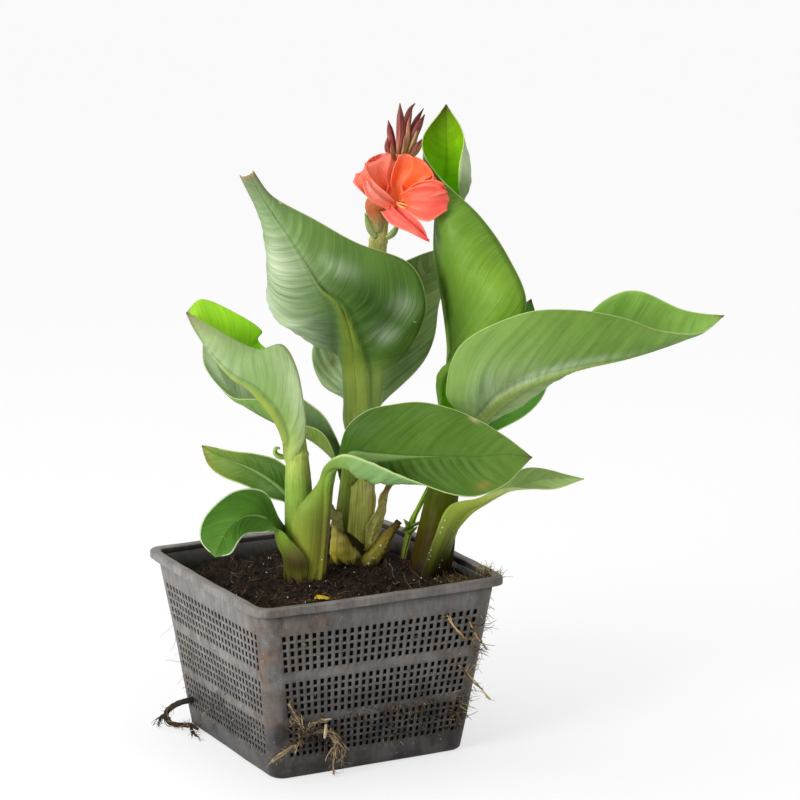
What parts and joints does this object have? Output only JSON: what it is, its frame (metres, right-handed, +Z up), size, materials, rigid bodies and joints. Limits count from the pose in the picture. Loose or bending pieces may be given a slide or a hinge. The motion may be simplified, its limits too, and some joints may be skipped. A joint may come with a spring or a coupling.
{
  "type": "potted canna lily plant",
  "caption": "Dwarf canna lily with broad furled leaves, an open coral flower and a spike of dark buds, rooted in peat in a square black mesh pond basket",
  "frame": {"origin": "centre of the basket's underside, on the surface it stands on", "axes": "+Z up; the basket's sides lie along X and Y; the front wall faces -Y and the widest leaf reaches toward +X and -Y"},
  "size_m": [0.3258, 0.2236, 0.426],
  "materials": {
    "basket": "matte",
    "soil": "matte",
    "rhizome": "matte",
    "shoot": "satin",
    "old_sheath": "satin",
    "dry_sheath": "matte",
    "leaf": "satin",
    "flower": "satin",
    "bud": "satin",
    "root": "matte",
    "straw": "matte",
    "scrap": "matte"
  },
  "bodies": {
    "root": {"basket": "basket", "soil": "soil", "rhizome": "rhizome", "shoot_left": "shoot", "shoot_centre": "shoot", "shoot_right": "shoot", "cut_stub": "old_sheath", "leaf_left_top": "leaf", "leaf_left_front": "leaf", "leaf_left_low": "leaf", "leaf_left_back": "leaf", "leaf_centre_front": "leaf", "leaf_centre_back": "leaf", "leaf_centre_low": "leaf", "leaf_right_tall": "leaf", "leaf_right_wide": "leaf", "leaf_right_low": "leaf", "leaf_right_back": "leaf", "sheath_front": "old_sheath", "sheath_dry": "dry_sheath", "sheath_side": "old_sheath", "flower": "flower", "bud_spike": "bud", "root_loop": "root", "roots_front": "root", "straw_high": "straw", "straw_edge": "straw", "straw_low": "straw", "petal_scrap": "scrap"}
  },
  "joints": []
}
